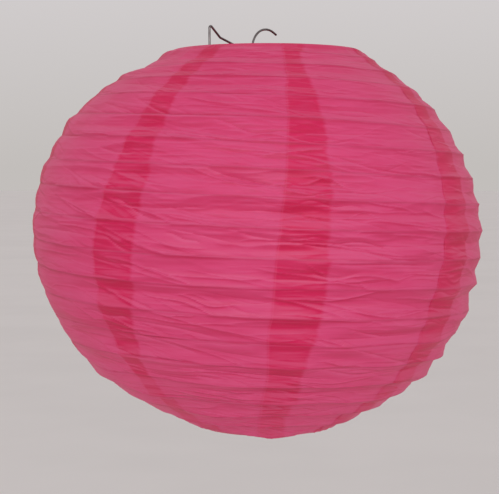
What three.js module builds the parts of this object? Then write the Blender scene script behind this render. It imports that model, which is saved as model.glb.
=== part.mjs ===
// A round paper lantern: eight overlapping tissue-paper gores on a spiral rib wire, a stiff wire
// hoop round each mouth, and one bent wire expander that stretches the shade and hangs it.
// Millimetres, +Z up. The expander lies in the XZ plane, and the origin is the point where the
// crown of its hook rests on whatever it hangs from.
import * as THREE from 'three';

// ---- driving dimensions -------------------------------------------------------------------
const SHADE_RADIUS = 199;          // widest part of the paper body
const SHADE_HALF_HEIGHT = 181;     // half axis of the body's elliptical profile
// Near each mouth the slack paper runs flatter than the ellipse: by how much, and where on it.
const TOP_FLATTENING = { depth: 4.4, middleDeg: 56, spreadDeg: 12 };
const BOTTOM_FLATTENING = { depth: 3.7, middleDeg: -58, spreadDeg: 14 };
const TOP_HOOP_RADIUS = 81;        // centre line of the wire in the upper mouth
const BOTTOM_HOOP_RADIUS = 56;     // centre line of the wire in the lower mouth
const HOOP_WIRE_RADIUS = 1.1;
const EXPANDER_WIRE_RADIUS = 1.0;
const RIB_WIRE_RADIUS = 0.6;
const CLEARANCE = 0.3;             // gap between touching pieces

const PAPER_THICKNESS = 0.7;       // tissue with its glued creases, thickened to a solid sheet
const GORE_COUNT = 8;
const GORE_OVERLAP_DEG = 11.5;     // how far each gore lies over its neighbour
const FIRST_GORE_DEG = 4.0;        // where the first gore's free edge lies
const GORE_ROWS = 16;

const RIB_TURNS = 18;
const RIB_TOP_DEG = 61;            // where the rib wire starts, as an angle on the profile
const RIB_PITCH_DEG = 7.03;        // profile angle from one turn to the next at the top
const RIB_PITCH_GROWTH_DEG = 0.0326; // how much wider each next turn is
const RIB_START_DEG = 250;         // compass place of its upper end
const RIB_SEGMENTS_PER_TURN = 24;
const RIB_DEPTH = 2.2;             // centre line of the wire below the paper's inner face

const HOOK_RISE = 19.6;            // hook's bearing point above the plane of the upper hoop
const EAR_REACH = 70.6;            // upright of each ear, inside the upper hoop
const HOOK_EAR_RISE = 20.7;        // corner of the ear above the upper hoop, on the hook's side
const PLAIN_EAR_RISE = 12.2;       // the other ear is bent lower
const EAR_HEIGHT = 11;             // ear's corner above the kink where it meets the arm
const ARM_KINK = 57.7;             // reach of that kink
const NOTCH_REACH = 88;            // outer end of the notch that carries the upper hoop
const LEG_REACH = 50;              // legs, inside the lower hoop
const FOOT_REACH = 62.5;           // outer end of the foot that presses on the lower hoop
const COIL_TURNS = 3;

const radians = THREE.MathUtils.degToRad;

// ---- heights worked out from the profile -----------------------------------------------------
function profileHeight(angle) {
  const flattening = ({ depth, middleDeg, spreadDeg }) => (
    depth * Math.exp(-(((THREE.MathUtils.radToDeg(angle) - middleDeg) / spreadDeg) ** 2))
  );
  return SHADE_HALF_HEIGHT * Math.sin(angle) - flattening(TOP_FLATTENING) + flattening(BOTTOM_FLATTENING);
}

const profileAngleAtRadius = (radius) => Math.acos(radius / SHADE_RADIUS);
const MOUTH_MARGIN = HOOP_WIRE_RADIUS + CLEARANCE + 0.2;
const TOP_ANGLE = profileAngleAtRadius(TOP_HOOP_RADIUS + MOUTH_MARGIN);
const BOTTOM_ANGLE = -profileAngleAtRadius(BOTTOM_HOOP_RADIUS + MOUTH_MARGIN);
const TOP_HOOP_HEIGHT = profileHeight(TOP_ANGLE) + 0.2;
const BOTTOM_HOOP_HEIGHT = profileHeight(BOTTOM_ANGLE) - 0.2;
const HOOK_HEIGHT = TOP_HOOP_HEIGHT + HOOK_RISE;

// ---- materials --------------------------------------------------------------------------------
const paperMaterial = () => new THREE.MeshStandardMaterial({
  color: 0xcf4a72, roughness: 0.85, metalness: 0,
});
const steelMaterial = () => new THREE.MeshStandardMaterial({
  color: 0x8d8f93, roughness: 0.35, metalness: 1,
});

// ---- the paper body's profile -------------------------------------------------------------------
// A point on the profile, moved straight out of the surface by lift.
function profilePoint(angle, lift) {
  const normal = new THREE.Vector2(
    Math.cos(angle) / SHADE_RADIUS,
    Math.sin(angle) / SHADE_HALF_HEIGHT,
  ).normalize();
  return new THREE.Vector2(
    SHADE_RADIUS * Math.cos(angle) + lift * normal.x,
    profileHeight(angle) + lift * normal.y,
  );
}

function bodyPoint(angle, compass, lift) {
  const flat = profilePoint(angle, lift);
  return new THREE.Vector3(flat.x * Math.cos(compass), flat.x * Math.sin(compass), flat.y);
}

// ---- gores --------------------------------------------------------------------------------------
// Columns of one gore, from its free edge, which lies over the last gore, to its tucked edge.
function goreColumns() {
  const span = 360 / GORE_COUNT;
  const raised = PAPER_THICKNESS + CLEARANCE;
  const columns = [[0, raised], [GORE_OVERLAP_DEG / 2, raised], [GORE_OVERLAP_DEG, raised]];
  const openSteps = 5;
  for (let step = 1; step <= openSteps; step += 1) {
    columns.push([GORE_OVERLAP_DEG + (step / openSteps) * (span - GORE_OVERLAP_DEG), 0]);
  }
  columns.push([span + GORE_OVERLAP_DEG / 2, 0], [span + GORE_OVERLAP_DEG, 0]);
  return columns;
}

function goreGeometry(startDeg) {
  const columns = goreColumns();
  const positions = [];
  const layers = [PAPER_THICKNESS, 0];
  for (const thickness of layers) {
    for (let row = 0; row <= GORE_ROWS; row += 1) {
      const angle = THREE.MathUtils.lerp(BOTTOM_ANGLE, TOP_ANGLE, row / GORE_ROWS);
      for (const [offsetDeg, lift] of columns) {
        const point = bodyPoint(angle, radians(startDeg + offsetDeg), lift + thickness);
        positions.push(point.x, point.y, point.z);
      }
    }
  }
  const width = columns.length;
  const innerStart = width * (GORE_ROWS + 1);
  const outer = (row, column) => row * width + column;
  const inner = (row, column) => innerStart + row * width + column;
  const faces = [];
  const quad = (a, b, c, d) => faces.push(a, b, c, a, c, d);
  for (let row = 0; row < GORE_ROWS; row += 1) {
    for (let column = 0; column < width - 1; column += 1) {
      quad(outer(row, column), outer(row, column + 1), outer(row + 1, column + 1), outer(row + 1, column));
      quad(inner(row, column), inner(row + 1, column), inner(row + 1, column + 1), inner(row, column + 1));
    }
    quad(outer(row, 0), outer(row + 1, 0), inner(row + 1, 0), inner(row, 0));
    quad(outer(row, width - 1), inner(row, width - 1), inner(row + 1, width - 1), outer(row + 1, width - 1));
  }
  for (let column = 0; column < width - 1; column += 1) {
    quad(outer(0, column), inner(0, column), inner(0, column + 1), outer(0, column + 1));
    quad(outer(GORE_ROWS, column), outer(GORE_ROWS, column + 1),
      inner(GORE_ROWS, column + 1), inner(GORE_ROWS, column));
  }
  const geometry = new THREE.BufferGeometry();
  geometry.setAttribute('position', new THREE.Float32BufferAttribute(positions, 3));
  geometry.setIndex(faces);
  geometry.computeVertexNormals();
  return geometry;
}

// ---- wires --------------------------------------------------------------------------------------
// A curve through given stations, so that a bend can hold many of them and a straight only two.
class StationCurve extends THREE.Curve {
  constructor(stations) {
    super();
    this.stations = stations;
  }

  getPoint(t) {
    const last = this.stations.length - 1;
    const index = Math.min(Math.floor(t * last + 1e-9), last - 1);
    return this.stations[index].clone().lerp(this.stations[index + 1], t * last - index);
  }

  getPointAt(t) {
    return this.getPoint(t);
  }

  getTangentAt(t) {
    const last = this.stations.length - 1;
    const index = Math.round(t * last);
    const here = this.stations[index];
    const before = this.stations[Math.max(index - 1, 0)];
    const after = this.stations[Math.min(index + 1, last)];
    const arriving = here.clone().sub(before).normalize();
    const leaving = after.clone().sub(here).normalize();
    return arriving.add(leaving).normalize();
  }
}

function wireGeometry(stations, radius, sides) {
  const section = new THREE.Shape();
  for (let side = 0; side < sides; side += 1) {
    const turn = (side / sides) * 2 * Math.PI;
    const x = radius * Math.cos(turn);
    const y = radius * Math.sin(turn);
    if (side === 0) section.moveTo(x, y);
    else section.lineTo(x, y);
  }
  return new THREE.ExtrudeGeometry(section, {
    extrudePath: new StationCurve(stations), steps: stations.length - 1, bevelEnabled: false,
  });
}

// A flat route of straight runs with round corners. Each corner is [across, height, bend radius].
function roundedRoute(corners) {
  const stepAngle = radians(28);
  const route = [];
  corners.forEach(([across, height, bend], index) => {
    const corner = new THREE.Vector2(across, height);
    if (!bend) {
      route.push(corner);
      return;
    }
    const towards = (other) => new THREE.Vector2(other[0], other[1]).sub(corner).normalize();
    const back = towards(corners[index - 1]);
    const onward = towards(corners[index + 1]);
    const opening = Math.acos(THREE.MathUtils.clamp(back.dot(onward), -1, 1));
    const inward = back.clone().add(onward).normalize();
    const centre = inward.multiplyScalar(bend / Math.sin(opening / 2)).add(corner);
    const reach = bend / Math.tan(opening / 2);
    const start = back.clone().multiplyScalar(reach).add(corner).sub(centre);
    const end = onward.clone().multiplyScalar(reach).add(corner).sub(centre);
    const sweep = Math.PI - opening;
    const sense = Math.sign(start.cross(end));
    const steps = Math.max(2, Math.ceil(sweep / stepAngle));
    for (let step = 0; step <= steps; step += 1) {
      const turned = start.clone().rotateAround(new THREE.Vector2(), (sense * sweep * step) / steps);
      route.push(turned.add(centre));
    }
  });
  return route;
}

// ---- expander -----------------------------------------------------------------------------------
// One side of the expander from its arm to the crossbar, for side = -1 or 1.
function expanderSide(side, earRise) {
  const ring = TOP_HOOP_HEIGHT;
  const base = BOTTOM_HOOP_HEIGHT;
  return [
    [side * ARM_KINK, ring + earRise - EAR_HEIGHT, 3],
    [side * EAR_REACH, ring + earRise, 1.6],
    [side * (EAR_REACH - 0.2), ring - 2.2, 1.4],
    [side * NOTCH_REACH, ring - 2.7, 1.7],
    [side * LEG_REACH, ring - 24, 7],
    [side * LEG_REACH, base + 17.5, 5],
    [side * FOOT_REACH, base + 6.1, 2],
    [side * (LEG_REACH + 0.5), base + 0.1, 4],
  ];
}

// The wire's end is wound round the arm that carries the hook.
function expanderCoil(armStart, armEnd) {
  const along = armEnd.clone().sub(armStart).normalize();
  const aside = new THREE.Vector3(0, 1, 0);
  const below = along.clone().cross(aside);
  if (below.z > 0) below.negate();
  const radius = 2 * EXPANDER_WIRE_RADIUS + CLEARANCE + 0.05;
  const pitch = 2 * EXPANDER_WIRE_RADIUS + CLEARANCE + 0.1;
  const leadLength = 6;
  const leadSteps = 5;
  const stepsPerTurn = 10;
  const coil = [];
  const place = (distance, turn) => armStart.clone()
    .addScaledVector(along, distance)
    .addScaledVector(below, radius * Math.cos(turn))
    .addScaledVector(aside, radius * Math.sin(turn));
  for (let step = 0; step <= leadSteps; step += 1) {
    const share = step / leadSteps;
    coil.push(place(leadLength * share, (Math.PI / 2) * share * share));
  }
  for (let step = 1; step <= COIL_TURNS * stepsPerTurn; step += 1) {
    const turns = step / stepsPerTurn;
    coil.push(place(leadLength + pitch * turns, Math.PI / 2 + 2 * Math.PI * turns));
  }
  return coil;
}

function expanderStations() {
  const ring = TOP_HOOP_HEIGHT;
  const crown = HOOK_HEIGHT + EXPANDER_WIRE_RADIUS;
  const hookSide = -1;
  const hook = [
    [13, crown - 4],
    [5.3, crown, 18],
    [hookSide * 13.8, crown, 18],
    [hookSide * 19.5, ring - 2, 3],
  ];
  const farArm = [
    [hookSide * 7, ring - 8.1, 8],
    [hookSide * 13.7, ring - 6.2],
  ];
  const flat = roundedRoute([
    ...hook,
    ...expanderSide(hookSide, HOOK_EAR_RISE),
    ...expanderSide(-hookSide, PLAIN_EAR_RISE).reverse(),
    ...farArm,
  ]);
  const upright = flat.map((point) => new THREE.Vector3(point.x, 0, point.y));
  const armStart = new THREE.Vector3(hookSide * 16.4, 0, ring - 3);
  const armEnd = new THREE.Vector3(hookSide * ARM_KINK, 0, ring + HOOK_EAR_RISE - EAR_HEIGHT);
  return [...upright, ...expanderCoil(armStart, armEnd)];
}

// ---- spiral rib ---------------------------------------------------------------------------------
function ribStations() {
  const stations = [];
  const count = RIB_TURNS * RIB_SEGMENTS_PER_TURN;
  for (let step = 0; step <= count; step += 1) {
    const turn = step / RIB_SEGMENTS_PER_TURN;
    const angle = radians(RIB_TOP_DEG - RIB_PITCH_DEG * turn - (RIB_PITCH_GROWTH_DEG / 2) * turn * turn);
    const compass = radians(RIB_START_DEG) + turn * 2 * Math.PI;
    stations.push(bodyPoint(angle, compass, -RIB_DEPTH));
  }
  return stations;
}

// ---- assembly -----------------------------------------------------------------------------------
function namedMesh(name, geometry, material) {
  const mesh = new THREE.Mesh(geometry, material);
  mesh.name = name;
  return mesh;
}

function hoop(name, radius, height) {
  const mesh = namedMesh(name, new THREE.TorusGeometry(radius, HOOP_WIRE_RADIUS, 8, 48), steelMaterial());
  mesh.position.z = height;
  return mesh;
}

const lantern = new THREE.Group();
for (let index = 0; index < GORE_COUNT; index += 1) {
  const startDeg = FIRST_GORE_DEG + (index * 360) / GORE_COUNT;
  lantern.add(namedMesh(`paper_gore_${index + 1}`, goreGeometry(startDeg), paperMaterial()));
}
lantern.add(hoop('top_hoop', TOP_HOOP_RADIUS, TOP_HOOP_HEIGHT));
lantern.add(hoop('bottom_hoop', BOTTOM_HOOP_RADIUS, BOTTOM_HOOP_HEIGHT));
lantern.add(namedMesh('spiral_rib', wireGeometry(ribStations(), RIB_WIRE_RADIUS, 6), steelMaterial()));
const expanderWire = wireGeometry(expanderStations(), EXPANDER_WIRE_RADIUS, 8);
lantern.add(namedMesh('wire_expander', expanderWire, steelMaterial()));
lantern.position.z = -HOOK_HEIGHT;

export default lantern;
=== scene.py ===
"""Looks of the paper lantern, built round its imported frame. Metres, +Z up, origin at the hanging hook.

The paper body is eight overlapping tissue gores. They are stretched over a spiral rib wire and sag into a
fold between its turns. Every paper surface and the rib wire follow one function, hang(), so that they fit.
"""
import math

import bmesh
import bpy
import numpy as np
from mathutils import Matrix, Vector


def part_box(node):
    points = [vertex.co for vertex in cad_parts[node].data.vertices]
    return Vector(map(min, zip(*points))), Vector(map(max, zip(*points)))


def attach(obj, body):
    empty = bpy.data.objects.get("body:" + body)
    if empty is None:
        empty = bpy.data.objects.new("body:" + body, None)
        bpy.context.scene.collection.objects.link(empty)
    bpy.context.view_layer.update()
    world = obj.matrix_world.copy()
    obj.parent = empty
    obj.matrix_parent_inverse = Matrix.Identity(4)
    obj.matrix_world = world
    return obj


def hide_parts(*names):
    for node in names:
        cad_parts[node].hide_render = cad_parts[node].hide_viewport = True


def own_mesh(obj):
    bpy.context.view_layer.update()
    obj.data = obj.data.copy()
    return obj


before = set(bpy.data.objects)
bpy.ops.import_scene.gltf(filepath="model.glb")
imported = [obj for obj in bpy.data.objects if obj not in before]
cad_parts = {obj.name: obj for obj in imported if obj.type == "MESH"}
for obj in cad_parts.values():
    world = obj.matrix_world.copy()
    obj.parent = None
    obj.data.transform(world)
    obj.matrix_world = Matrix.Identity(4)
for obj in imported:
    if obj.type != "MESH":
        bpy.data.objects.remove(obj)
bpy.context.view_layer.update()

MM = 0.001

# ---- sizes of the body ----------------------------------------------------------------------------
SHADE_RADIUS = 0.199
SHADE_HALF_HEIGHT = 0.181
MEAN_RADIUS = 0.19                  # turns angles on the profile into lengths along it
TOP_FLATTENING = (4.4 * MM, 56, 12)  # depth, and the profile degrees it is centred on and spreads over
BOTTOM_FLATTENING = (3.7 * MM, -58, 14)
HOOP_WIRE = 1.1 * MM                # radii of the three wires
EXPANDER_WIRE = 1.0 * MM
RIB_WIRE = 0.55 * MM
PAPER_LIFT = 1.5 * MM               # paper above the frame's bare profile
WRAP_RADIUS = HOOP_WIRE + 0.2 * MM  # paper round a hoop's wire


def middle(node):
    """The middle of a node's box and half its size."""
    low, high = (np.array(corner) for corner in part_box(node))
    return (low + high) / 2, (high - low) / 2


top_centre, top_half = middle("top_hoop")
bottom_centre, bottom_half = middle("bottom_hoop")
TOP_RADIUS = top_half[0] - HOOP_WIRE
BOTTOM_RADIUS = bottom_half[0] - HOOP_WIRE
TOP_Z = top_centre[2]
BOTTOM_Z = bottom_centre[2]
MOUTH_MARGIN = 1.6 * MM             # from a hoop's centre line out to the paper's rim
RIM_BELOW_HOOP = 0.2 * MM


def profile_height(angle):
    """Height of the bare profile above the widest part, at a profile angle."""
    def flattening(depth, middle_degrees, spread):
        return depth * np.exp(-((np.degrees(angle) - middle_degrees) / spread) ** 2)
    return (SHADE_HALF_HEIGHT * np.sin(angle) - flattening(*TOP_FLATTENING)
            + flattening(*BOTTOM_FLATTENING))


TOP_HEIGHT = float(profile_height(math.acos((TOP_RADIUS + MOUTH_MARGIN) / SHADE_RADIUS))) + RIM_BELOW_HOOP
EQUATOR_Z = TOP_Z - TOP_HEIGHT
BOTTOM_HEIGHT = BOTTOM_Z - EQUATOR_Z

# ---- gores and ribs --------------------------------------------------------------------------------
GORE_COUNT = 8
GORE_SPAN = 2 * math.pi / GORE_COUNT
FIRST_BAND = math.radians(9.75)     # middle of the first overlap
RIB_TURNS = 18
RIB_TOP = math.radians(61)          # profile angle of the rib wire where it is RIB_START round
RIB_START = math.radians(250)
RIB_PITCH = math.radians(7.03)      # profile angle from one turn to the next at the top
RIB_GROWTH = math.radians(0.0163)   # and what it widens by
RIB_STRIP = 0.0235                  # paper between two turns, along the surface

# ---- how the body hangs ----------------------------------------------------------------------------
CAMERA_COMPASS = math.radians(223.8)
TOWARDS_CAMERA = np.array([math.cos(CAMERA_COMPASS), math.sin(CAMERA_COMPASS)])
RIGHT = np.array([-TOWARDS_CAMERA[1], TOWARDS_CAMERA[0]])
LEAN = -8.0 * MM                    # the slack body stands off the line between the hoops
TILT = math.radians(1.5)            # and its ribs are a little out of level
TWIST = math.radians(10.7)          # the gores turn this much from bottom to top
SLACK_BELOW_MIDDLE = 0.13           # the slack is greatest a little below half height
SLACK_ROUNDING = 0.45


def eased(share):
    return share * share * (3 - 2 * share)


def smooth(low, high, value):
    return eased(np.clip((value - low) / (high - low), 0, 1))


def hang(angle, compass, lift):
    """Points of the hanging body: profile angle, compass angle and height above the bare profile."""
    across = np.cos(angle) / SHADE_RADIUS
    along = np.sin(angle) / SHADE_HALF_HEIGHT
    length = np.hypot(across, along)
    radius = SHADE_RADIUS * np.cos(angle) + lift * across / length
    height = profile_height(angle) + lift * along / length
    share = np.clip((height - BOTTOM_HEIGHT) / (TOP_HEIGHT - BOTTOM_HEIGHT), 0, 1)
    skewed = share + SLACK_BELOW_MIDDLE * share * (1 - share)
    slack = (4 * skewed * (1 - skewed)) ** SLACK_ROUNDING
    turned = compass + TWIST * (share - 0.5)
    x = radius * np.cos(turned)
    y = radius * np.sin(turned)
    sideways = x * RIGHT[0] + y * RIGHT[1]
    x = x + LEAN * slack * RIGHT[0]
    y = y + LEAN * slack * RIGHT[1]
    z = EQUATOR_Z + height - math.tan(TILT) * slack * sideways
    return np.stack([x, y, z], axis=-1)


def rim_angle(hoop_radius, side):
    """Profile angle where the paper meets the wrap round a hoop. side is 1 at the top mouth."""
    angle = side * math.acos(hoop_radius / SHADE_RADIUS)
    for _ in range(20):
        across = math.cos(angle) / SHADE_RADIUS
        along = math.sin(angle) / SHADE_HALF_HEIGHT
        outward = across / math.hypot(across, along)
        radius = hoop_radius + (WRAP_RADIUS - PAPER_LIFT) * outward
        angle = side * math.acos(radius / SHADE_RADIUS)
    return angle


TOP_ANGLE = rim_angle(TOP_RADIUS, 1)
BOTTOM_ANGLE = rim_angle(BOTTOM_RADIUS, -1)
CLEAR_OF_WIRE = 0.0062              # radians that the gores stop short, to clear the wire when folded


# ---- relief of the paper ---------------------------------------------------------------------------
# It is worked out once on a fine map of the whole body, and every gore reads it from there.
MAP_ROWS = 900
MAP_COLUMNS = 1200
map_angle = np.linspace(BOTTOM_ANGLE, TOP_ANGLE, MAP_ROWS)[:, None]
map_compass = (np.arange(MAP_COLUMNS) / MAP_COLUMNS * 2 * math.pi)[None, :]
meridian = np.hypot(SHADE_RADIUS * np.sin(map_angle), SHADE_HALF_HEIGHT * np.cos(map_angle))
map_arc = np.concatenate([[0], np.cumsum(meridian[1:, 0] * np.diff(map_angle[:, 0]))])[:, None]
below_top = map_arc[-1, 0] - map_arc
mouth_distance = np.minimum(below_top, map_arc)


def off_camera(compass):
    """Angle from each map column to a place that lies this far to the right of the camera's side."""
    return np.angle(np.exp(1j * (map_compass - CAMERA_COMPASS - compass)))


def between_knots(values, places, knots):
    """Runs smoothly through one value per knot."""
    place = np.clip(places, 0, knots)
    index = np.floor(place).astype(int)
    share = eased(place - index)
    return values[index] * (1 - share) + values[index + 1] * share


def wave(random, places, knots):
    """Smooth noise between -1 and 1 along a line, at places counted in knots."""
    return between_knots(random.uniform(-1, 1, knots + 3), places, knots)


def cloud(random, cell_width, cell_height):
    """Smooth noise between -1 and 1 on the map, seamless round the body. Sizes in metres."""
    columns = max(3, round(2 * math.pi * SHADE_RADIUS / cell_width))
    rows = max(2, round(map_arc[-1, 0] / cell_height))
    values = random.uniform(-1, 1, (rows + 2, columns))
    down = map_arc / map_arc[-1, 0] * rows
    round_body = map_compass / (2 * math.pi) * columns
    row = np.floor(down).astype(int)
    column = np.floor(round_body).astype(int)
    v = eased(down - row)
    u = eased(round_body - column)
    here = values[row, column % columns] * (1 - u) + values[row, (column + 1) % columns] * u
    above = values[row + 1, column % columns] * (1 - u) + values[row + 1, (column + 1) % columns] * u
    return here * (1 - v) + above * v


FIRST_TURN = -2                     # turns that the noise along the ribs covers
LAST_TURN = 21


def rib_angle(turn):
    """Profile angle of the rib wire, this many turns from its upper end."""
    return RIB_TOP - RIB_PITCH * turn - RIB_GROWTH * turn * turn


def rib_turns(angle, compass):
    """The turn number of the rib just above each point, and the share of the way down to the next."""
    past_start = np.mod(compass - RIB_START, 2 * math.pi) / (2 * math.pi)
    passed = (np.sqrt(RIB_PITCH ** 2 + 4 * RIB_GROWTH * (RIB_TOP - angle)) - RIB_PITCH) / (2 * RIB_GROWTH)
    turn = np.floor(passed - past_start) + past_start
    upper = np.minimum(rib_angle(turn), TOP_ANGLE)
    lower = np.maximum(rib_angle(turn + 1), BOTTOM_ANGLE)
    height = np.maximum(upper - lower, 1e-4)
    return turn, np.clip((upper - angle) / height, 0, 1), height / RIB_PITCH


def along_ribs(seed, knots_per_turn):
    """Smooth noise between -1 and 1 along the rib wire, as a function of the turn."""
    knots = (LAST_TURN - FIRST_TURN) * knots_per_turn
    values = np.random.default_rng(seed).uniform(-1, 1, knots + 3)
    return lambda turn: between_knots(values, (turn - FIRST_TURN) * knots_per_turn, knots)


rib_stands_out = along_ribs(11, 5)
rib_bead = along_ribs(14, 6)
fold_depth = along_ribs(12, 6)
fold_place = along_ribs(13, 8)

# Places round the body, in radians to the right of the camera's side.
LEFT_SIDE = -1.6
BETWEEN_LEFT_BANDS = -0.6
RIGHT_OF_MIDDLE = 0.6

RIB_UNEVENNESS = 1.1 * MM           # how far the rib wire wanders off the true body
FOLD_DEPTH = 2.5 * MM               # paper folded in between two ribs
FOLD_ROUNDING = 0.10
PUFF_HEIGHT = 2.3 * MM              # or blown out between them, on the slack left side
LEFT_OFFSET = 2.4 * MM              # the slack left side as a whole hangs this much further in
SHOULDER_DEPTH = 5.5 * MM           # and its shoulder below the top mouth has sunk
SHOULDER_ANGLE = 1.07
BEAD_HEIGHT = 0.20 * MM             # the glued ridge over a rib
BEAD_WIDTH = 1.1 * MM


def rib_lift(turn):
    """How far the rib wire itself stands off the true body, which fades out at the hoops."""
    angle = rib_angle(turn)
    fade = smooth(TOP_ANGLE, TOP_ANGLE - 0.35, angle) * smooth(BOTTOM_ANGLE, BOTTOM_ANGLE + 0.35, angle)
    return RIB_UNEVENNESS * rib_stands_out(turn) * fade


def from_rib(share, height):
    """Length along the paper to the nearest rib."""
    return np.minimum(share, 1 - share) * height * RIB_STRIP


def fold_relief():
    """Ribs stand out, and the paper between two turns is folded inwards along a crease."""
    turn, share, height = rib_turns(map_angle, map_compass)
    crease = 0.43 + 0.15 * fold_place(turn)
    tent = np.where(share < crease, share / crease, (1 - share) / (1 - crease))
    rounded = np.hypot(1 - tent, FOLD_ROUNDING)
    left_side = np.exp(-(off_camera(LEFT_SIDE) / 0.6) ** 2)
    depth = FOLD_DEPTH * (1 + 0.75 * fold_depth(turn)) * height ** 1.4
    pulled = 0.35 * np.exp(-(map_angle / 0.3) ** 2) * np.cos(off_camera(0)) ** 2
    depth = depth * (1 - pulled - 0.25 * smooth(0.1, 0.5, map_angle)) * (1 - 0.9 * left_side)
    blown = PUFF_HEIGHT * (1 + 0.5 * fold_place(turn)) * np.sin(math.pi * share) ** 0.8 * height
    puff = left_side * (blown - LEFT_OFFSET)
    shoulder = np.exp(-((map_angle - SHOULDER_ANGLE) / 0.10) ** 2) * smooth(7 * MM, 20 * MM, below_top)
    sunk = left_side * (SHOULDER_DEPTH * shoulder)
    ribs = rib_lift(turn) * (1 - share) + rib_lift(turn + 1) * share - sunk
    beaded = np.exp(-(from_rib(share, height) / BEAD_WIDTH) ** 2)
    bead = BEAD_HEIGHT * (1 + rib_bead(turn + (share > 0.5))) * beaded
    return ribs - depth * (1 - rounded) + puff + bead


def slack_bumps(seed):
    """Puffs of slack paper, about half a strip high, where it isn't pulled flat."""
    random = np.random.default_rng(seed)
    patches = smooth(-0.5, 0.6, cloud(random, 0.30, 0.10))
    sides = 1 - 0.6 * np.cos(off_camera(0)) ** 2
    return 2.1 * MM * sides * cloud(random, 0.055, 0.0105) * patches


def rib_marks():
    """Near 1 over a rib wire, which is glued to the paper; the colour there is glue plus a painted shadow of
    the wire through the paper.
    """
    _, share, height = rib_turns(map_angle, map_compass)
    marked = np.exp(-(from_rib(share, height) / (0.8 * MM)) ** 2)
    return marked * smooth(4 * MM, 20 * MM, mouth_distance)


def unrest():
    """The wrinkled share of the paper: it is pulled smooth at the sides of the lean and at the top."""
    facing = np.cos(off_camera(0)) ** 2
    height = 0.55 + 0.45 * smooth(0.95, 0.25, map_angle) * (1 - 0.6 * smooth(-0.7, -1.2, map_angle))
    upper_right = np.exp(-(off_camera(RIGHT_OF_MIDDLE) / 0.5) ** 2) * smooth(0.15, 0.6, map_angle)
    return (0.42 + 0.58 * facing) * height * (1 - 0.5 * upper_right)


CREASE_COUNT = 2600
CREASE_LENGTH = (0.025, 0.11)
CREASE_WIDTH = (0.6 * MM, 1.5 * MM)
CREASE_REACH = 9 * MM               # a wrinkle's side fades out within this
CREASE_SLOPE = 0.07                 # a wrinkle's usual fall per length, and how much that varies
CREASE_SPREAD = 0.10
SHEARED_SLOPE = 0.19                # and the extra fall between the left and middle bands


def crease_relief(count, seed):
    """Sharp wrinkles that run nearly level along the paper and gather against the ribs."""
    random = np.random.default_rng(seed)
    relief = np.zeros((MAP_ROWS, MAP_COLUMNS))
    step = 2 * math.pi / MAP_COLUMNS
    reach = CREASE_REACH / MEAN_RADIUS
    for _ in range(count):
        first_turn = random.uniform(-0.8, RIB_TURNS + 0.6)
        start = random.uniform(0.0, 1.0)
        angle = rib_angle(first_turn + start)
        radius = SHADE_RADIUS * max(math.cos(angle), 0.2)
        length = random.uniform(*CREASE_LENGTH)
        columns = max(8, int(length / radius / step))
        first = int(((RIB_START + 2 * math.pi * first_turn) % (2 * math.pi)) / step)
        aside = first * step + 0.5 * length / radius - CAMERA_COMPASS - BETWEEN_LEFT_BANDS
        sheared = math.exp(-(math.remainder(aside, 2 * math.pi) / 0.45) ** 2)
        slope = random.normal(CREASE_SLOPE + SHEARED_SLOPE * sheared, CREASE_SPREAD)
        depth = random.choice([-1, 1]) * (0.25 + 1.1 * random.random() ** 3) * MM
        width = random.uniform(*CREASE_WIDTH)
        travelled = (np.arange(columns) + 0.5) / columns
        bow = random.normal(0, 0.12) * np.sin(math.pi * travelled)
        bow = bow + random.normal(0, 0.03) * np.sin(9 * travelled)
        line = np.clip(start + slope * length / RIB_STRIP * travelled + bow, 0.02, 0.98)
        turned = first_turn + np.arange(columns) * step / (2 * math.pi)
        line_angle = rib_angle(turned + line)
        low = np.searchsorted(map_angle[:, 0], line_angle.min() - reach)
        high = np.searchsorted(map_angle[:, 0], line_angle.max() + reach)
        if high - low < 3:
            continue
        away = (map_angle[low:high] - line_angle[None, :]) * MEAN_RADIUS
        taper = np.sin(math.pi * travelled) ** 0.6
        across = (first + np.arange(columns)) % MAP_COLUMNS
        relief[low:high, across] += depth * taper * np.exp(-np.abs(away) / width)
    return relief


def crumple_relief(seed):
    """Flat crushed facets, drawn out along the ribs, larger in some places than in others."""
    random = np.random.default_rng(seed)
    patches = 0.45 + 0.55 * smooth(-0.35, 0.55, cloud(random, 0.20, 0.07))
    relief = np.zeros((MAP_ROWS, MAP_COLUMNS))
    for width, height, amount in ((0.110, 0.015, 0.85), (0.050, 0.0070, 0.50), (0.022, 0.0036, 0.20)):
        relief += amount * MM * (1 - 2 * np.abs(cloud(random, width, height)))
    return relief * patches


def pleat_relief(seed):
    """Short pleats that run away from each hoop, where the gores are gathered on to it."""
    random = np.random.default_rng(seed)
    relief = np.zeros((MAP_ROWS, MAP_COLUMNS))
    for count, edge, reach in ((40, TOP_ANGLE, 0.09), (34, BOTTOM_ANGLE, 0.10)):
        for _ in range(count):
            centre = random.uniform(0, 2 * math.pi)
            width = random.uniform(0.010, 0.022)
            depth = random.uniform(0.2, 0.7) * MM
            away = np.abs(np.angle(np.exp(1j * (map_compass - centre))))
            out = np.abs(map_angle - edge) / reach
            relief += depth * np.exp(-(away / width)) * np.exp(-out * out) * smooth(0.08, 0.4, out)
    return relief


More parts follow.
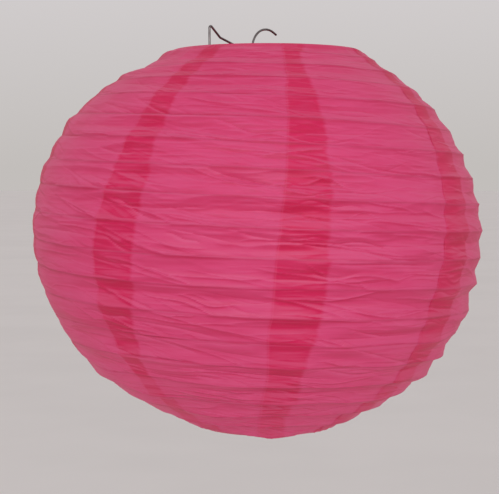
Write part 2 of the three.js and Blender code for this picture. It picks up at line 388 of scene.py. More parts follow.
def mouth_lumps(seed):
    """Crushed lumps on the left shoulder of the top mouth, and a puff beside the bottom mouth."""
    random = np.random.default_rng(seed)
    relief = np.zeros((MAP_ROWS, MAP_COLUMNS))
    shoulder = [(compass, TOP_ANGLE - below, 2.6, 0.07, 0.028)
                for compass, below in ((-86, 0.04), (-78, 0.03), (-70, 0.05), (-60, 0.035), (78, 0.04))]
    for compass, angle, height, width, depth in shoulder + [(14, BOTTOM_ANGLE + 0.06, 3.4, 0.30, 0.05)]:
        away = off_camera(math.radians(compass))
        across = away / width / random.uniform(0.8, 1.2)
        along = (angle - map_angle + 0.3 * away * (angle > 0)) / depth / random.uniform(0.8, 1.2)
        relief += height * MM * np.exp(-np.hypot(across, along))
    return relief


mouth_fade = smooth(2 * MM, 16 * MM, mouth_distance)
FOLDS = fold_relief() * mouth_fade
WRINKLES = (crease_relief(CREASE_COUNT, 21) + crumple_relief(22)) * unrest()
FINE_RELIEF = (WRINKLES + slack_bumps(25) + mouth_lumps(24)) * mouth_fade
MAP_RELIEF = FOLDS + FINE_RELIEF + pleat_relief(23)
# The ribs and the paper on them also wander up and down a little.
SHIFT_ANGLE = math.radians(0.55)
MAP_SHIFT = SHIFT_ANGLE * cloud(np.random.default_rng(31), 0.30, 0.06) * smooth(0.0, 50 * MM, mouth_distance)


def read_map(field, angle, compass):
    """A map's values at given places, by straight-line interpolation."""
    row = (angle - BOTTOM_ANGLE) / (TOP_ANGLE - BOTTOM_ANGLE) * (MAP_ROWS - 1)
    row = np.clip(row, 0, MAP_ROWS - 1.001)
    column = np.mod(compass, 2 * math.pi) / (2 * math.pi) * MAP_COLUMNS
    low_row = np.floor(row).astype(int)
    low_column = np.floor(column).astype(int)
    v = row - low_row
    u = column - low_column
    left = low_column % MAP_COLUMNS
    right = (low_column + 1) % MAP_COLUMNS
    lower = field[low_row, left] * (1 - u) + field[low_row, right] * u
    upper = field[low_row + 1, left] * (1 - u) + field[low_row + 1, right] * u
    return lower * (1 - v) + upper * v


# ---- mesh helpers ----------------------------------------------------------------------------------
def grid_faces(rows, columns, wrap_rows=False, wrap_columns=False):
    """The quads of a grid, which may close on itself either way."""
    row, column = np.meshgrid(np.arange(rows if wrap_rows else rows - 1),
                              np.arange(columns if wrap_columns else columns - 1), indexing="ij")
    after = (column + 1) % columns
    above = (row + 1) % rows
    quads = [row * columns + column, row * columns + after, above * columns + after, above * columns + column]
    return np.stack(quads, axis=-1).reshape(-1, 4)


def grid_object(name, points, uv=None, values=None, flip=False, **wraps):
    """A smooth grid of quads. uv and values, given at the points, become a UV map and point attributes."""
    rows, columns = points.shape[:2]
    faces = grid_faces(rows, columns, **wraps)
    if flip:
        faces = faces[:, ::-1]
    mesh = bpy.data.meshes.new(name)
    mesh.vertices.add(rows * columns)
    mesh.vertices.foreach_set("co", points.reshape(-1).astype(np.float32))
    mesh.loops.add(faces.size)
    mesh.loops.foreach_set("vertex_index", faces.reshape(-1).astype(np.int32))
    mesh.polygons.add(len(faces))
    mesh.polygons.foreach_set("loop_start", np.arange(0, faces.size, 4, dtype=np.int32))
    mesh.polygons.foreach_set("loop_total", np.full(len(faces), 4, dtype=np.int32))
    mesh.update(calc_edges=True)
    mesh.polygons.foreach_set("use_smooth", np.ones(len(faces), dtype=bool))
    if uv is not None:
        layer = mesh.uv_layers.new(name="paper")
        layer.data.foreach_set("uv", uv.reshape(-1, 2)[faces.reshape(-1)].reshape(-1).astype(np.float32))
    for label, field in (values or {}).items():
        attribute = mesh.attributes.new(label, "FLOAT", "POINT")
        attribute.data.foreach_set("value", np.ascontiguousarray(field, dtype=np.float32).reshape(-1))
    thing = bpy.data.objects.new(name, mesh)
    bpy.context.collection.objects.link(thing)
    return thing


def tube(name, path, radius, sides=16, closed=False):
    """A round wire along a path, with slightly rounded ends."""
    path = np.asarray(path, float)
    if closed:
        ahead = np.roll(path, -1, axis=0) - path
        tangent = ahead + np.roll(ahead, 1, axis=0)
    else:
        tangent = np.gradient(path, axis=0)
    tangent /= np.linalg.norm(tangent, axis=1)[:, None]
    normal = np.cross(tangent[0], [0.3, 0.5, 0.81])
    normals = []
    for direction in tangent:
        normal = normal - direction * normal.dot(direction)
        normal /= np.linalg.norm(normal)
        normals.append(normal)
    normals = np.array(normals)
    others = np.cross(tangent, normals)
    around = np.arange(sides) / sides * 2 * math.pi
    ring = (np.cos(around)[None, :, None] * normals[:, None, :]
            + np.sin(around)[None, :, None] * others[:, None, :])
    points = path[:, None, :] + radius * ring
    if closed:
        return grid_object(name, points, wrap_rows=True, wrap_columns=True)
    caps = []
    for place, step in ((0, -1), (-1, 1)):
        rings = [path[place] + 0.35 * radius * step * tangent[place] + 0.7 * radius * ring[place],
                 path[place] + 0.4 * radius * step * tangent[place] + 0.05 * radius * ring[place]]
        caps.append(np.stack(rings))
    points = np.concatenate([caps[0][::-1], points, caps[1]])
    thing = grid_object(name, points, wrap_columns=True)
    close_ends(thing.data, points.shape[0], sides)
    return thing


def close_ends(mesh, rows, sides):
    shape = bmesh.new()
    shape.from_mesh(mesh)
    shape.verts.ensure_lookup_table()
    shape.faces.new([shape.verts[index] for index in range(sides)][::-1])
    shape.faces.new([shape.verts[(rows - 1) * sides + index] for index in range(sides)])
    for face in shape.faces:
        face.smooth = True
    shape.to_mesh(mesh)
    shape.free()


# ---- gores -----------------------------------------------------------------------------------------
GORE_ROWS = 680
GORE_COLUMNS = 92
EDGE_RISE = 0.20 * MM               # the upper gore stands this much off the lower one
EDGE_CURL = 0.3 * MM                # and its free edge curls up this much more between the ribs
EDGE_WANDER = 1.4 * MM              # a free edge is this far from a true line
EDGE_STEP = 2.2                     # and a tucked edge steps by this many millimetres from rib to rib
OVERLAP_AT_BOTTOM = 21.5 * MM
OVERLAP_AT_TOP = 15.5 * MM
OVERLAP_SWELL = 22.5 * MM           # extra overlap near half height


def overlap_width(angle):
    """How far one gore lies over the next, measured across it."""
    height = SHADE_HALF_HEIGHT * np.sin(angle)
    share = (height - BOTTOM_HEIGHT) / (TOP_HEIGHT - BOTTOM_HEIGHT)
    ends = OVERLAP_AT_BOTTOM + (OVERLAP_AT_TOP - OVERLAP_AT_BOTTOM) * share
    return ends + OVERLAP_SWELL * np.exp(-((height + 12 * MM) / (98 * MM)) ** 2)


def hidden_edge_steps(band, turn):
    """The tucked edge was trimmed strip by strip, so it steps a little at each rib."""
    random = np.random.default_rng(400 + band)
    steps = random.uniform(-EDGE_STEP, EDGE_STEP, LAST_TURN - FIRST_TURN + 2) * MM
    return steps[np.clip(np.floor(turn).astype(int) - FIRST_TURN, 0, len(steps) - 1)]


# Edges that were glued further over: band, edge, how far, and the profile degrees it centres on and
# spreads over.
EDGE_DRIFTS = (
    (4, "free", 5.5 * MM, -47, 18),
    (4, "hidden", 3.5 * MM, 20, 22),
    (4, "hidden", -7.5 * MM, -27, 21),
    (5, "free", -7.0 * MM, 37, 20),
    (5, "hidden", -7.5 * MM, 49, 13),
    (6, "free", 8.5 * MM, 60, 19),
    (6, "hidden", 8.5 * MM, 60, 19),
)


def edge_drift(band, edge, angle):
    """How far a band's edge lies off its regular place."""
    drift = np.zeros_like(angle)
    for drifting_band, drifting_edge, extra, centre, spread in EDGE_DRIFTS:
        if (drifting_band, drifting_edge) == (band % GORE_COUNT, edge):
            drift = drift + extra * np.exp(-((np.degrees(angle) - centre) / spread) ** 2)
    return drift


def band_edges(band, angle, compass):
    """Compass angles of a band's free edge and hidden edge."""
    radius = SHADE_RADIUS * np.cos(angle)
    half = overlap_width(angle) / 2
    random = np.random.default_rng(300 + band)
    wander = EDGE_WANDER * wave(random, (angle - BOTTOM_ANGLE) * 9, 24)
    turn = rib_turns(angle, compass)[0]
    steps = hidden_edge_steps(band % GORE_COUNT, turn)
    middle_line = FIRST_BAND + band * GORE_SPAN
    free = middle_line + (wander - half + edge_drift(band, "free", angle)) / radius
    hidden = middle_line + (half + steps + edge_drift(band, "hidden", angle)) / radius
    return free, hidden


def gore(index):
    """One sheet of tissue, from its free edge to its edge tucked under the next gore."""
    angle = np.linspace(BOTTOM_ANGLE + CLEAR_OF_WIRE, TOP_ANGLE - CLEAR_OF_WIRE, GORE_ROWS)[:, None]
    first_line = FIRST_BAND + index * GORE_SPAN
    free, hidden = band_edges(index, angle, first_line)
    next_free, next_hidden = band_edges(index + 1, angle, first_line + GORE_SPAN)
    share = np.linspace(0, 1, GORE_COLUMNS)[None, :]
    compass = free + (next_hidden - free) * share
    radius = SHADE_RADIUS * np.cos(angle)
    past_hidden = (compass - hidden) * radius
    past_free = (compass - free) * radius
    under_next = (compass - next_free) * radius
    raised = EDGE_RISE * (1 - smooth(0, 9 * MM, past_hidden))
    turn, strip, _ = rib_turns(angle, compass)
    random = np.random.default_rng(500 + index)
    loose = 0.5 + 0.5 * wave(random, turn - FIRST_TURN, LAST_TURN - FIRST_TURN)
    curl = EDGE_CURL * loose * np.sin(math.pi * strip) ** 2 * (1 - smooth(0, 7 * MM, past_free))
    rim = smooth(0, 0.02, np.minimum(angle - BOTTOM_ANGLE, TOP_ANGLE - angle))  # no rise at the hems
    relief = read_map(MAP_RELIEF, angle, compass)
    shift = read_map(MAP_SHIFT, angle, compass)
    points = hang(angle + shift, compass, PAPER_LIFT + relief + (raised + curl) * rim)
    arc = np.interp(angle, map_angle[:, 0], map_arc[:, 0])
    uv = np.stack([compass * SHADE_RADIUS, np.broadcast_to(arc, compass.shape)], axis=-1)
    doubled = np.clip(past_hidden, -9 * MM, 9 * MM)
    single = np.maximum(np.minimum(doubled, -under_next), -past_free)
    values = {
        "single": single / MM,
        "free_edge": past_free / MM,
        "from_mouth": np.broadcast_to(np.minimum(arc, map_arc[-1, 0] - arc) / MM, compass.shape),
        "crease": read_map(MAP_CREASE, angle, compass),
        "slope": read_map(MAP_SLOPE, angle, compass),
        "rib": read_map(MAP_RIBS, angle, compass),
    }
    return grid_object(f"paper_gore_{index + 1}_sheet", points, uv, values)


SHARP_BEND = 0.10 * MM
STEEP_SLOPE = 0.22
FOLDS_IN_SLOPE = 0.45               # share of the broad folds that the painted highlight and shade follow


def relief_curvature():
    """Sharp ridges are near 1 and sharp valleys near -1, for the colour along them: paler ridges, partly wear
    and partly painted highlight, and painted shade in the valleys.
    """
    inner = MAP_RELIEF[1:-1]
    bend = np.zeros_like(MAP_RELIEF)
    bend[1:-1] = 2 * inner - MAP_RELIEF[:-2] - MAP_RELIEF[2:]
    return np.tanh(bend / SHARP_BEND)


def relief_slope():
    """Near 1 where a wrinkle's side is turned up and near -1 where it is turned down, for a painted highlight
    on upper sides and painted shade on undersides.
    """
    relief = FINE_RELIEF + FOLDS_IN_SLOPE * FOLDS
    rise = np.gradient(relief, axis=0) / np.gradient(map_arc, axis=0)
    return np.tanh(-rise / STEEP_SLOPE)


def lowest_around(field, rows, columns):
    """The lowest value within a few cells of each cell."""
    lowest = field.copy()
    for column in range(-columns, columns + 1):
        np.minimum(lowest, np.roll(field, column, axis=1), out=lowest)
    field = lowest.copy()
    for row in range(1, rows + 1):
        lowest[row:] = np.minimum(lowest[row:], field[:-row])
        lowest[:-row] = np.minimum(lowest[:-row], field[row:])
    return lowest


MAP_CREASE = relief_curvature()
MAP_SLOPE = relief_slope()
MAP_RIBS = rib_marks()
MAP_FLOOR = lowest_around(MAP_RELIEF, 2, 4)


# ---- hems ------------------------------------------------------------------------------------------
HEM_COLUMNS = 720
HEM_LEAD = np.array((3.2, 2.3, 1.4, 0.6)) * MM  # the fold's start under the gores' ends, from the wire
HEM_SUNK = 0.14 * MM                # depth of that start under the wrap's radius
HEM_TAIL = 8 * MM                   # length glued back inside


def hem(name, hoop_radius, hoop_z, rim, side, seed):
    """The gores' ends, folded over a hoop's wire and glued back inside. side is 1 at the top mouth."""
    across = math.cos(rim) / SHADE_RADIUS
    along = math.sin(rim) / SHADE_HALF_HEIGHT
    outward = np.array([across, along]) / math.hypot(across, along)
    away = np.array([outward[1], -outward[0]]) * side
    lead = [run * away + (WRAP_RADIUS - HEM_SUNK) * outward for run in HEM_LEAD]
    turns = np.linspace(0, 1.0, 15) * math.pi
    section = lead + [WRAP_RADIUS * (math.cos(turn) * outward - math.sin(turn) * away) for turn in turns]
    for share in np.linspace(0.12, 1, 12):
        run = HEM_TAIL * share
        close = smooth(0, 0.62, share)
        body_curve = run * run / (2 * MEAN_RADIUS)
        depth = -WRAP_RADIUS + (2 * WRAP_RADIUS - (0.5 + 1.4 * share) * MM - body_curve) * close
        section.append(run * away + depth * outward)
    section = np.array(section)
    compass = np.arange(HEM_COLUMNS) / HEM_COLUMNS * 2 * math.pi
    random = np.random.default_rng(seed)
    inside = smooth(0.3, 0.6, np.linspace(0, 1, len(section)))[:, None]
    uneven = 1 + 0.12 * inside * np.sin(compass * 37 + random.uniform(0, 6)) * np.sin(compass * 11 + 1)
    crush = 0.18 * MM * np.sin(compass * 61 + 3 * np.sin(compass * 7))
    radial = hoop_radius + section[:, 0][:, None] * uneven
    height = hoop_z + section[:, 1][:, None] * uneven
    radial = radial - crush * inside * outward[0]
    height = height - crush * inside * outward[1]
    height = np.broadcast_to(height, radial.shape)
    points = np.stack([radial * np.cos(compass), radial * np.sin(compass), height], axis=-1)
    length = np.concatenate([[0], np.cumsum(np.linalg.norm(np.diff(section, axis=0), axis=1))])
    uv = np.stack(np.broadcast_arrays(compass[None, :] * SHADE_RADIUS, length[:, None]), axis=-1)
    values = {label: np.full(points.shape[:2], level) for label, level in
              (("single", -5.0), ("free_edge", 50.0), ("from_mouth", 0.0))}
    return grid_object(name, points, uv, values, wrap_columns=True, flip=side > 0)


# ---- wires -----------------------------------------------------------------------------------------
# The expander is laid out in millimetres, in its own plane.
HOOK_EAR_RISE = 20.7                # corner of the ear above the upper hoop, on the hook's side
PLAIN_EAR_RISE = 12.2               # the other ear is bent lower
EAR_HEIGHT = 11
EAR_REACH = 70.6
ARM_KINK = 57.7                     # reach of the kink where an ear meets its arm
NOTCH_REACH = 88                    # outer end of the notch that carries the upper hoop
LEG_REACH = 50
FOOT_REACH = 62.5                   # outer end of the foot that presses on the lower hoop
COIL_TURNS = 3
COIL_PITCH = 2.4
COIL_RADIUS = 2.35
COIL_STEPS = 28                     # points on one turn
BEND_STEP = math.radians(12)


def rounded_route(corners):
    """Straight runs with round corners, in the expander's plane. Each corner is (x, z, bend radius)."""
    route = []
    for index, (x, z, bend) in enumerate(corners):
        corner = np.array([x, z])
        if not bend:
            route.append(corner)
            continue
        back, onward = (np.array(corners[other][:2]) - corner for other in (index - 1, index + 1))
        back = back / np.linalg.norm(back)
        onward = onward / np.linalg.norm(onward)
        opening = math.acos(np.clip(back @ onward, -1, 1))
        inward = (back + onward) / np.linalg.norm(back + onward)
        centre = corner + inward * bend / math.sin(opening / 2)
        start = corner + back * bend / math.tan(opening / 2) - centre
        sweep = math.pi - opening
        sense = -np.sign(back[0] * onward[1] - back[1] * onward[0])
        count = max(2, math.ceil(sweep / BEND_STEP))
        for turn in np.linspace(0, sense * sweep, count + 1):
            spin = np.array([[math.cos(turn), -math.sin(turn)], [math.sin(turn), math.cos(turn)]])
            route.append(centre + spin @ start)
    return np.array(route)


def expander_side(side, ear_rise):
    """Corners from an arm to the crossbar, on the side -1 or 1."""
    ring = TOP_Z / MM
    base = BOTTOM_Z / MM
    return [
        (side * ARM_KINK, ring + ear_rise - EAR_HEIGHT, 3),
        (side * EAR_REACH, ring + ear_rise, 1.6),
        (side * (EAR_REACH - 0.2), ring - 2.2, 1.4),
        (side * NOTCH_REACH, ring - 2.7, 1.7),
        (side * LEG_REACH, ring - 24, 7),
        (side * LEG_REACH, base + 17.5, 5),
        (side * FOOT_REACH, base + 6.1, 2),
        (side * (LEG_REACH + 0.5), base + 0.1, 4),
    ]


def expander_coil(arm_start, arm_end):
    """The wire's end, which comes in beside the hook's arm and is wound round it."""
    along = (arm_end - arm_start) / np.linalg.norm(arm_end - arm_start)
    aside = np.array([0, 1, 0])
    below = np.cross(along, aside)
    below = below * -np.sign(below[2])
    lead = np.linspace(0, 1, 12)
    lead_length = 6
    turns = np.linspace(0, COIL_TURNS, COIL_TURNS * COIL_STEPS + 1)[1:]
    distance = np.concatenate([lead_length * lead, lead_length + COIL_PITCH * turns])
    turn = np.concatenate([math.pi / 2 * lead ** 2, math.pi / 2 + 2 * math.pi * turns])
    around = np.cos(turn)[:, None] * below + np.sin(turn)[:, None] * aside
    return arm_start + distance[:, None] * along + COIL_RADIUS * around


def expander_path():
    crown = EXPANDER_WIRE / MM
    ring = TOP_Z / MM
    hook = [(13, crown - 4, 0), (5.3, crown, 18), (-13.8, crown, 18), (-19.5, ring - 2, 3)]
    plain_arm = [(-7, ring - 8.1, 8), (-13.7, ring - 6.2, 0)]
    sides = expander_side(-1, HOOK_EAR_RISE) + expander_side(1, PLAIN_EAR_RISE)[::-1]
    flat = rounded_route(hook + sides + plain_arm)
    upright = np.stack([flat[:, 0], 0 * flat[:, 0], flat[:, 1]], axis=-1)
    arm_end = np.array([-ARM_KINK, 0, ring + HOOK_EAR_RISE - EAR_HEIGHT])
    coil = expander_coil(np.array([-16.4, 0, ring - 3.0]), arm_end)
    return spread_out(np.concatenate([upright, coil]) * MM, 6 * MM)


def spread_out(path, longest):
    """The path with extra points on its long straight runs."""
    pieces = []
    for start, end in zip(path[:-1], path[1:]):
        count = max(1, math.ceil(np.linalg.norm(end - start) / longest))
        pieces.append(start + (end - start) * np.arange(count)[:, None] / count)
    return np.concatenate(pieces + [path[-1:]])


def hoop_path(radius, height, steps=160):
    compass = np.arange(steps) / steps * 2 * math.pi
    return np.stack([radius * np.cos(compass), radius * np.sin(compass), np.full(steps, height)], axis=-1)


RIB_GAP = 0.25 * MM                 # between the rib wire and the paper's lowest wrinkles
RIB_STEPS = 110                     # points on one turn


def rib_path():
    """The spiral from hoop to hoop, just under the paper."""
    turn = np.linspace(0, RIB_TURNS, RIB_TURNS * RIB_STEPS)
    compass = RIB_START + 2 * math.pi * turn
    angle = rib_angle(turn)
    shift = read_map(MAP_SHIFT, angle, compass)
    lift = np.minimum(read_map(MAP_FLOOR, angle, compass), rib_lift(turn))
    return hang(angle + shift, compass, PAPER_LIFT - RIB_WIRE - RIB_GAP + lift)


# ---- materials -------------------------------------------------------------------------------------
class Tree:
    """A short way to write a material's nodes."""

    def __init__(self, name):
        self.material = bpy.data.materials.new(name)
        self.material.use_nodes = True
        self.nodes = self.material.node_tree.nodes
        self.links = self.material.node_tree.links
        self.shader = self.nodes["Principled BSDF"]
        self.output = self.nodes["Material Output"]

    def node(self, kind, inputs=(), **settings):
        made = self.nodes.new(kind)
        for label, value in settings.items():
            setattr(made, label, value)
        for label, value in dict(inputs).items():
            self.put(made.inputs[label], value)
        return made

    def put(self, socket, value):
        if isinstance(value, bpy.types.NodeSocket):
            self.links.new(value, socket)
        else:
            socket.default_value = value

    def maths(self, operation, *values):
        made = self.node("ShaderNodeMath", operation=operation)
        for socket, value in zip(made.inputs, values):
            self.put(socket, value)
        return made.outputs[0]

    def positive(self, value, factor):
        """The value where it is above 0, times a factor."""
        return self.maths("MULTIPLY", self.maths("MAXIMUM", value, 0.0), factor)

    def negative(self, value, factor):
        """How far the value is below 0, times a factor."""
        return self.positive(self.maths("MULTIPLY", value, -1.0), factor)

    def span(self, value, low, high, first=0.0, last=1.0):
        """Runs smoothly from first, where the value is low, to last, where it is high."""
        ends = {"From Min": low, "From Max": high, "To Min": first, "To Max": last}
        made = self.node("ShaderNodeMapRange", {"Value": value, **ends}, interpolation_type="SMOOTHSTEP")
        return made.outputs[0]

    def mix(self, factor, first, second, blend="MIX"):
        made = self.node("ShaderNodeMix", data_type="RGBA", blend_type=blend)
        for socket, value in ((made.inputs[0], factor), (made.inputs[6], first), (made.inputs[7], second)):
            self.put(socket, value)
        return made.outputs[2]

    def noise(self, vector, scale, detail=3.0, roughness=0.55):
        settings = {"Vector": vector, "Scale": scale, "Detail": detail, "Roughness": roughness}
        return self.node("ShaderNodeTexNoise", settings).outputs["Fac"]

    def stretched(self, vector, across, along):
        return self.node("ShaderNodeMapping", {"Vector": vector, "Scale": (across, along, 1)}).outputs[0]

    def field(self, label):
        return self.node("ShaderNodeAttribute", attribute_name=label).outputs["Fac"]


# Dye colours of one and two layers of tissue, pale fibre with painted highlights, deep dye with painted
# shade, glue with the wire's painted shadow, and painted shade under folds.
SINGLE_PAPER = (0.92, 0.085, 0.280, 1)
DOUBLE_PAPER = (0.87, 0.008, 0.138, 1)
PALE_FIBRE_AND_HIGHLIGHT = (0.95, 0.20, 0.42, 1)
DEEP_DYE_AND_SHADE = (0.80, 0.012, 0.13, 1)
GLUE_AND_WIRE_SHADOW = (0.66, 0.006, 0.085, 1)
PAINTED_FOLD_SHADE = (0.84, 0.45, 0.60, 1)


def paper_material():
    tree = Tree("pink_tissue")
    place = tree.node("ShaderNodeUVMap", uv_map="paper").outputs[0]
    streaks = tree.noise(tree.stretched(place, 9, 130), 3.0, 5.0, 0.6)
    blotches = tree.noise(place, 26.0, 3.0, 0.5)
    fibre = tree.noise(tree.stretched(place, 220, 420), 3.0, 4.0, 0.65)

    # Two layers look darker than one, less so in patches where they stand apart.
    apart = tree.span(tree.noise(tree.stretched(place, 1, 3.6), 20.0, 2.0, 0.5), 0.45, 0.65, 0.0, 0.30)
    uneven = tree.maths("MULTIPLY", tree.maths("SUBTRACT", streaks, 0.5), 7.0)
    one_layer = tree.span(tree.maths("ADD", tree.field("single"), uneven), -2.4, 2.4)
    one_layer = tree.maths("MAXIMUM", one_layer, apart)
    in_hem = tree.span(tree.field("from_mouth"), 7.4, 9.0)
    one_layer = tree.maths("MULTIPLY", one_layer, tree.span(in_hem, 0.0, 1.0, 0.45, 1.0))
    colour = tree.mix(one_layer, DOUBLE_PAPER, SINGLE_PAPER)

    # Painted light and shade on the wrinkles: ridges paler, partly wear and partly a painted highlight, upper
    # sides with a painted highlight, and painted shade in valleys and on undersides.
    crease = tree.field("crease")
    colour = tree.mix(tree.positive(crease, 0.34), colour, PALE_FIBRE_AND_HIGHLIGHT)
    colour = tree.mix(tree.negative(crease, 0.50), colour, DEEP_DYE_AND_SHADE)
    # Painted highlight where a facet faces up, painted shade where it faces down.
    slope = tree.field("slope")
    highlight_share = tree.span(one_layer, 0.0, 1.0, 0.42, 0.24)
    colour = tree.mix(tree.positive(slope, highlight_share), colour, PALE_FIBRE_AND_HIGHLIGHT)
    colour = tree.mix(tree.negative(slope, 0.75), colour, PAINTED_FOLD_SHADE, blend="MULTIPLY")

    colour = tree.mix(tree.span(streaks, 0.50, 0.80, 0.0, 0.18), colour, PALE_FIBRE_AND_HIGHLIGHT)
    colour = tree.mix(tree.span(streaks, 0.50, 0.25, 0.0, 0.20), colour, DEEP_DYE_AND_SHADE)
    colour = tree.mix(tree.span(blotches, 0.35, 0.75, 0.0, 0.16), colour, DEEP_DYE_AND_SHADE)
    colour = tree.mix(tree.span(fibre, 0.60, 0.80, 0.0, 0.18), colour, PALE_FIBRE_AND_HIGHLIGHT)
    # A painted highlight along each gore's free edge.
    edge_highlight = tree.span(tree.field("free_edge"), 1.1, 0.2, 0.0, 0.12)
    colour = tree.mix(edge_highlight, colour, PALE_FIBRE_AND_HIGHLIGHT)
    # Glue over the rib wire, with a painted shadow of the wire seen through the paper.
    rib = tree.maths("MULTIPLY", tree.field("rib"), tree.span(streaks, 0.35, 0.60, 0.10, 0.62))
    colour = tree.mix(rib, colour, GLUE_AND_WIRE_SHADOW)

    height = tree.maths("ADD", streaks, tree.maths("MULTIPLY", fibre, 0.5))
    bump = tree.node("ShaderNodeBump", {"Strength": 0.25, "Distance": 0.0003, "Height": height}).outputs[0]
    tree.put(tree.shader.inputs["Base Color"], colour)
    tree.put(tree.shader.inputs["Roughness"], tree.span(fibre, 0.2, 0.8, 0.40, 0.52))
    tree.put(tree.shader.inputs["Normal"], bump)
    tree.shader.inputs["Specular IOR Level"].default_value = 0.50
    through = tree.node("ShaderNodeBsdfTranslucent", {"Color": colour, "Normal": bump})
    both = tree.node("ShaderNodeMixShader", {"Fac": 0.28})
    tree.put(both.inputs[1], tree.shader.outputs[0])
    tree.put(both.inputs[2], through.outputs[0])
    tree.put(tree.output.inputs["Surface"], both.outputs[0])
    return tree.material


def steel_material(name, light, dark, roughness):
    """Drawn steel wire with a dull film and fine die marks."""
    tree = Tree(name)
    place = tree.node("ShaderNodeTexCoord").outputs["Object"]
    film = tree.noise(place, 90.0, 4.0, 0.6)
    marks = tree.noise(place, 1400.0, 2.0, 0.5)
    colour = tree.mix(tree.span(film, 0.35, 0.75), light, dark)
    tree.put(tree.shader.inputs["Base Color"], colour)
    tree.shader.inputs["Metallic"].default_value = 1.0
    tree.put(tree.shader.inputs["Roughness"], tree.span(film, 0.3, 0.8, roughness, roughness + 0.2))
    bump = tree.node("ShaderNodeBump", {"Strength": 0.25, "Distance": 0.0001, "Height": marks})
    tree.put(tree.shader.inputs["Normal"], bump.outputs[0])
    return tree.material


def plain_material(name, colour):
    tree = Tree(name)
    place = tree.node("ShaderNodeTexCoord").outputs["Object"]
    darker = tuple(0.97 * level for level in colour[:3]) + (1,)
    mottled = tree.mix(tree.span(tree.noise(place, 1.5), 0.3, 0.7), colour, darker)
    tree.put(tree.shader.inputs["Base Color"], mottled)
    tree.shader.inputs["Roughness"].default_value = 0.9
    tree.shader.inputs["Specular IOR Level"].default_value = 0.1
    return tree.material


# ---- build -----------------------------------------------------------------------------------------
paper = paper_material()


def finish_piece(piece, material, body, nodes=(), folds=False):
    """Gives a piece its material and body, hides the CAD nodes that it stands in for, and gives a folding
    piece its own mesh.
    """
    piece.data.materials.append(material)
    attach(piece, body)
    if nodes:
        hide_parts(*nodes)
    if folds:
        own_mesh(piece)


def build_gores(hems):
    for index in range(GORE_COUNT):
        sheet = gore(index)
        finish_piece(sheet, paper, "shade", [f"paper_gore_{index + 1}"], folds=True)


def build_hems():
    top = hem("top_hem", TOP_RADIUS, TOP_Z, TOP_ANGLE, 1, 61)
    finish_piece(top, paper, "shade")
    bottom = hem("bottom_hem", BOTTOM_RADIUS, BOTTOM_Z, BOTTOM_ANGLE, -1, 62)
    finish_piece(bottom, paper, "lower_hoop")
    return [top, bottom]


def build_wires():
    # The expander's steel colours carry a painted red reflection of the pink paper.
    red_tinted_steel = steel_material("expander_steel", (0.24, 0.215, 0.215, 1), (0.07, 0.055, 0.055, 1), 0.30)
    dull = steel_material("hoop_steel", (0.52, 0.52, 0.53, 1), (0.30, 0.29, 0.29, 1), 0.35)
    thin = steel_material("rib_steel", (0.50, 0.50, 0.50, 1), (0.30, 0.29, 0.28, 1), 0.38)
    expander = tube("expander_wire", expander_path(), EXPANDER_WIRE)
    finish_piece(expander, red_tinted_steel, "expander", ["wire_expander"])
    top = tube("top_hoop_wire", hoop_path(TOP_RADIUS, TOP_Z), HOOP_WIRE, closed=True)
    finish_piece(top, dull, "shade", ["top_hoop"])
    bottom = tube("bottom_hoop_wire", hoop_path(BOTTOM_RADIUS, BOTTOM_Z), HOOP_WIRE, closed=True)
    finish_piece(bottom, dull, "lower_hoop", ["bottom_hoop"])
    rib = tube("rib_wire", rib_path(), RIB_WIRE, sides=8)
    finish_piece(rib, thin, "shade", ["spiral_rib"], folds=True)


# ---- stage, light and camera -----------------------------------------------------------------------
FLOOR_Z = -0.95
FLOOR_HALF_SIZE = 40
WORLD_LOW = (0.540, 0.515, 0.497, 1)    # at the horizon
WORLD_HIGH = (0.635, 0.605, 0.608, 1)   # and from WORLD_BLEND up
WORLD_BLEND = 0.12
CAMERA_DISTANCE = 1.30
CAMERA_RISE = 60 * MM               # above the widest part of the body
CAMERA_LENS = 103.9
AIM_RIGHT = -14.9 * MM
AIM_RISE = -12.2 * MM


def build_floor():
    ends = (-FLOOR_HALF_SIZE, FLOOR_HALF_SIZE)
    floor = grid_object("floor", np.array([[(x, y, FLOOR_Z) for x in ends] for y in ends]))
    floor.data.materials.append(plain_material("pale_floor", (0.86, 0.836, 0.82, 1)))


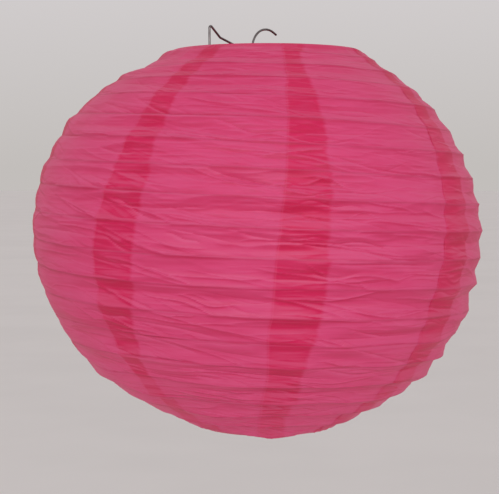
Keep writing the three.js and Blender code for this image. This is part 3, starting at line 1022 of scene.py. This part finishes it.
def point_at(thing, target):
    thing.rotation_mode = "QUATERNION"
    thing.rotation_quaternion = (Vector(target) - thing.location).to_track_quat("-Z", "Y")


def soft_light(name, forward, right, rise, width, height, power):
    """A flat light, placed by how far it is towards the camera, to the right and up from the body."""
    lamp = bpy.data.lights.new(name, "AREA")
    lamp.shape = "RECTANGLE"
    lamp.size = width
    lamp.size_y = height
    lamp.energy = power
    thing = bpy.data.objects.new(name, lamp)
    ground = forward * TOWARDS_CAMERA + right * RIGHT
    thing.location = (ground[0], ground[1], EQUATOR_Z + rise)
    bpy.context.collection.objects.link(thing)
    point_at(thing, (0, 0, EQUATOR_Z))


def build_light():
    world = bpy.data.worlds.new("studio")
    world.use_nodes = True
    nodes, links = world.node_tree.nodes, world.node_tree.links
    place = nodes.new("ShaderNodeTexCoord")
    split = nodes.new("ShaderNodeSeparateXYZ")
    links.new(place.outputs["Generated"], split.inputs[0])
    ramp = nodes.new("ShaderNodeValToRGB")
    links.new(split.outputs["Z"], ramp.inputs["Fac"])
    for stop, position, colour in zip(ramp.color_ramp.elements, (0.0, WORLD_BLEND), (WORLD_LOW, WORLD_HIGH)):
        stop.position = position
        stop.color = colour
    background = nodes["Background"]
    links.new(ramp.outputs["Color"], background.inputs["Color"])
    background.inputs["Strength"].default_value = 1.0
    bpy.context.scene.world = world
    bpy.context.scene.view_settings.view_transform = "Standard"
    soft_light("key", forward=1.7, right=0.1, rise=0.5, width=2.6, height=0.5, power=9.8)


def build_camera():
    lens = bpy.data.cameras.new("camera")
    lens.lens = CAMERA_LENS
    lens.sensor_width = 36
    lens.clip_end = 100
    camera = bpy.data.objects.new("camera", lens)
    spot = CAMERA_DISTANCE * TOWARDS_CAMERA
    aim = AIM_RIGHT * RIGHT
    camera.location = (spot[0], spot[1], EQUATOR_Z + CAMERA_RISE)
    bpy.context.collection.objects.link(camera)
    point_at(camera, (aim[0], aim[1], EQUATOR_Z + AIM_RISE))
    bpy.context.scene.camera = camera


build_gores(build_hems())
build_wires()
build_floor()
build_light()
build_camera()
